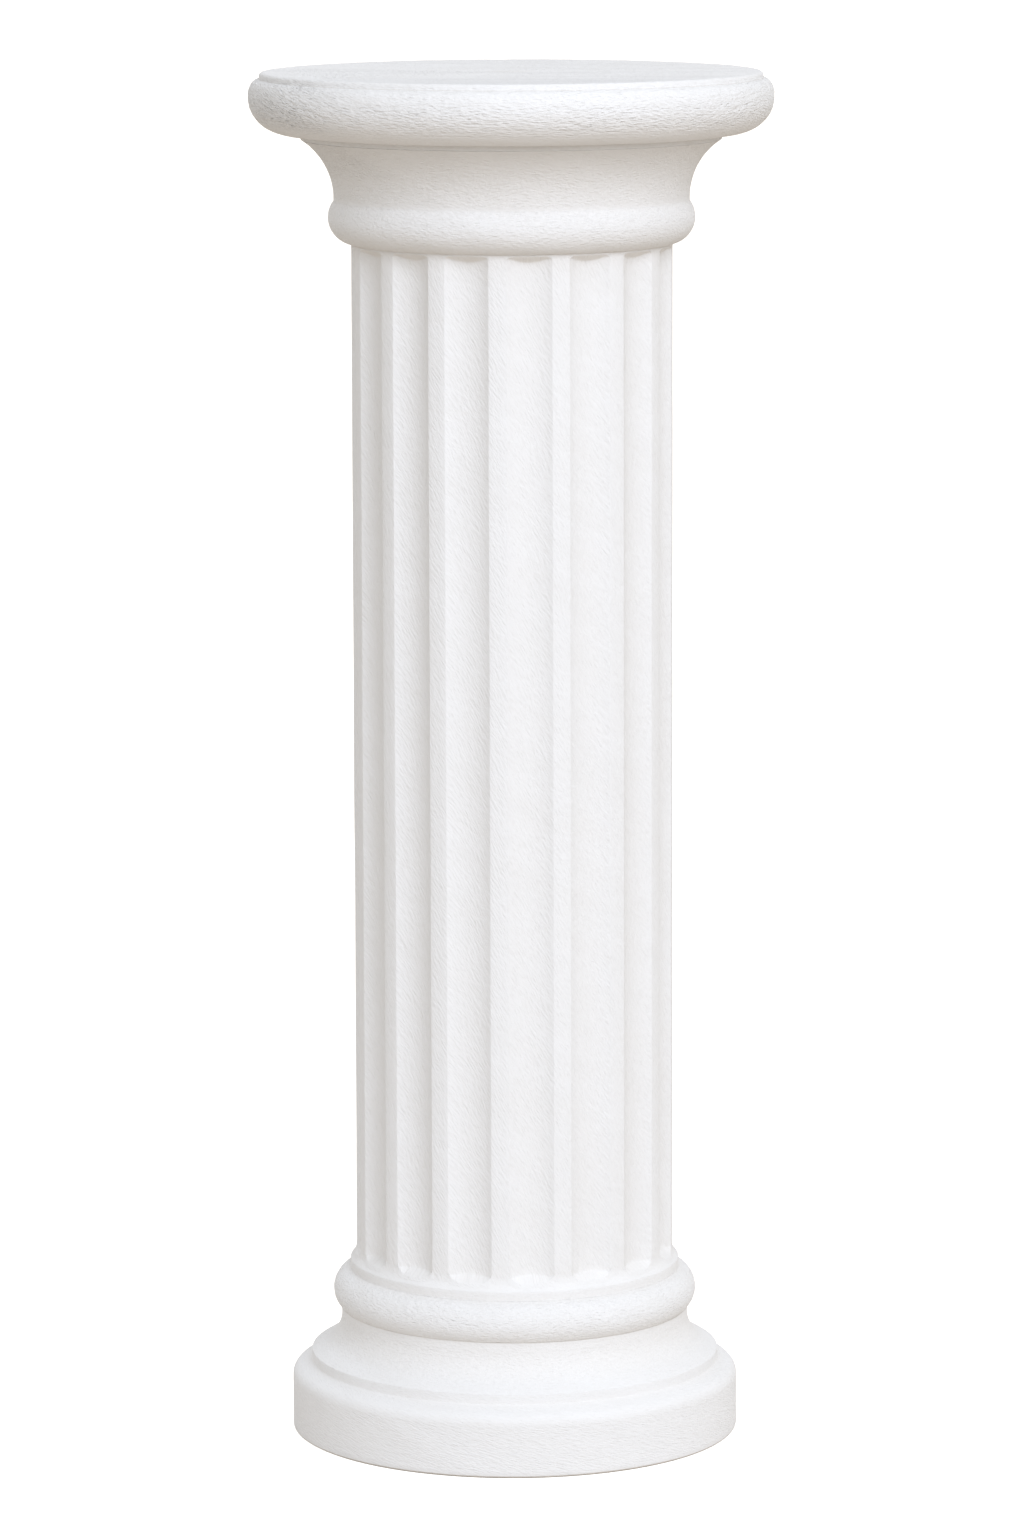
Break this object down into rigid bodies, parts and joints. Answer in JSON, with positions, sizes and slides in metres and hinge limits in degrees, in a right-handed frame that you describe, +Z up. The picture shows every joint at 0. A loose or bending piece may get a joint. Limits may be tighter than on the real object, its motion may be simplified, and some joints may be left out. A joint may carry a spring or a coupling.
{
  "type": "doric pedestal column",
  "caption": "Round white plaster pedestal column: fluted shaft, moulded round base on a low plinth, and a wide round moulded cap with a flat top that carries a bust, vase or plant.",
  "frame": {"origin": "centre of the underside, on the column's axis at floor level", "axes": "+Z up along the column's axis, -Y towards the side that the picture shows in front"},
  "size_m": [0.3802, 0.3802, 1],
  "materials": {
    "plaster": "matt"
  },
  "bodies": {
    "root": {"column": "plaster"}
  },
  "joints": []
}
